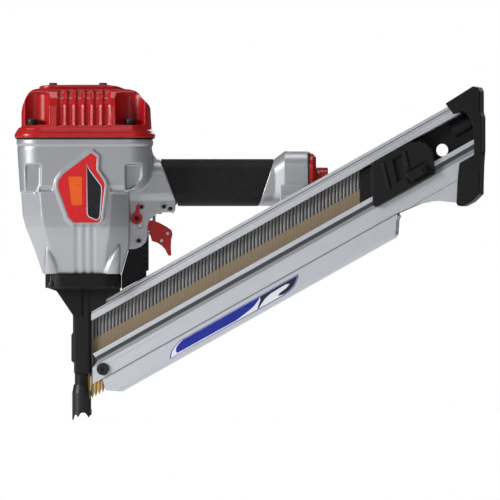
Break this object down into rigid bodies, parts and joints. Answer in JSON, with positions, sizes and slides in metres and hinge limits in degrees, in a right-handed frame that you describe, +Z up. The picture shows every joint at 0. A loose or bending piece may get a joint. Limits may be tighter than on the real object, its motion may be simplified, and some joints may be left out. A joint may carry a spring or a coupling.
{
  "type": "pneumatic strip nailer",
  "caption": "Air-driven framing nailer with a piston cylinder, trigger handle, contact foot and a sloping magazine of paper-taped nails.",
  "frame": {"origin": "centre of the nail outlet, at the lower end of the drive bore", "axes": "+Z up the drive axis towards the cylinder cap, +X back along the handle, +Y to the far side, away from the open side of the magazine"},
  "size_m": [0.4887, 0.1462, 0.3504],
  "materials": {
    "silver_paint": "satin",
    "red_paint": "gloss",
    "black_paint": "satin",
    "black_steel": "satin",
    "steel": "satin",
    "spring_steel": "satin",
    "aluminium": "satin",
    "black_plastic": "matt",
    "red_plastic": "gloss",
    "grip_rubber": "matt",
    "seal_rubber": "matt",
    "brass": "satin",
    "badge_print": "gloss",
    "nail_steel": "satin",
    "paper": "matt"
  },
  "bodies": {
    "tool": {"body_housing": "silver_paint", "bracket_pins": "black_steel", "bumper": "seal_rubber", "cap_bolts": "black_steel", "cap_gasket": "seal_rubber", "contact_arm_cover": "black_plastic", "contact_arm_spring": "spring_steel", "cylinder_cap": "red_paint", "cylinder_seal": "seal_rubber", "cylinder_sleeve": "aluminium", "end_cap": "red_paint", "end_cap_bolts": "black_steel", "end_cap_gasket": "seal_rubber", "exhaust_cover": "red_paint", "exhaust_screws": "black_steel", "handle_bracket": "silver_paint", "handle_grip": "grip_rubber", "head_valve_spring": "spring_steel", "magazine_back_plate": "black_paint", "magazine_far_rail": "aluminium", "magazine_near_rail": "aluminium", "magazine_rear_cap": "black_plastic", "magazine_screws": "black_steel", "magazine_tip_cover": "aluminium", "magazine_top_rail": "aluminium", "nails": "nail_steel", "nose_bolts": "black_steel", "nose_casting": "black_paint", "paper_tapes": "paper", "side_badges": "badge_print", "trigger_pivot": "steel", "trigger_valve": "brass", "valve_spring": "spring_steel"},
    "contact_arm": {"contact_foot": "black_steel", "contact_arm": "black_steel", "arm_screw": "black_steel"},
    "trigger": {"trigger": "red_plastic", "lever_pins": "steel"},
    "trigger_lever": {"trigger_contact_lever": "steel"},
    "valve_stem": {"valve_stem": "steel"},
    "mode_lever": {"mode_lever": "red_plastic", "mode_lever_screw": "black_steel"},
    "piston": {"piston": "aluminium", "piston_ring": "seal_rubber", "driver_blade": "steel"},
    "leading_nail": {"first_nail": "nail_steel"},
    "head_valve": {"head_valve": "black_plastic"},
    "pusher": {"nail_pusher": "black_plastic", "pusher_spring": "spring_steel"},
    "pusher_latch": {"pusher_latch": "black_plastic"}
  },
  "joints": [
    {"name": "trigger_pull", "type": "hinge", "parent": "tool", "child": "trigger", "pos_m": [0.0602, 0, 0.1935], "axis": [0, -1, 0], "range_deg": [0, 12], "stiffness_Nm_per_rad": 0.6},
    {"name": "contact_arm_slide", "type": "slide", "parent": "tool", "child": "contact_arm", "axis": [0, 0, 1], "range_m": [0, 0.008], "stiffness_N_per_m": 600, "deforming": ["contact_arm_spring"]},
    {"name": "trigger_lever_swing", "type": "hinge", "parent": "trigger", "child": "trigger_lever", "pos_m": [0.0892, 0, 0.1856], "axis": [0, 1, 0], "range_deg": [0, 18]},
    {"name": "valve_stem_slide", "type": "slide", "parent": "tool", "child": "valve_stem", "axis": [0, 0, 1], "range_m": [0, 0.003], "stiffness_N_per_m": 400, "deforming": ["valve_spring"]},
    {"name": "mode_lever_turn", "type": "hinge", "parent": "tool", "child": "mode_lever", "pos_m": [0.057, -0.0179, 0.2012], "axis": [0, 1, 0], "range_deg": [0, 60]},
    {"name": "piston_stroke", "type": "slide", "parent": "tool", "child": "piston", "axis": [0, 0, -1], "range_m": [0, 0.1]},
    {"name": "leading_nail_drive", "type": "slide", "parent": "tool", "child": "leading_nail", "axis": [0, 0, -1], "range_m": [0, 0.1]},
    {"name": "head_valve_lift", "type": "slide", "parent": "tool", "child": "head_valve", "axis": [0, 0, 1], "range_m": [0, 0.006], "stiffness_N_per_m": 1500, "deforming": ["head_valve_spring"]},
    {"name": "pusher_slide", "type": "slide", "parent": "tool", "child": "pusher", "axis": [0.8613, -0.1519, 0.4848], "range_m": [0, 0.025], "stiffness_N_per_m": 20, "springref_m": -0.25},
    {"name": "pusher_latch_swing", "type": "hinge", "parent": "pusher", "child": "pusher_latch", "pos_m": [0.3427, -0.0787, 0.24506], "axis": [-0.1736, -0.9848, 0], "range_deg": [0, 12], "stiffness_Nm_per_rad": 0.01}
  ],
  "couplings": [
    {"joint": "leading_nail_drive", "follows": "piston_stroke", "ratio": 1},
    {"joint": "trigger_lever_swing", "follows": "contact_arm_slide", "rad_per_m": 39.27}
  ]
}
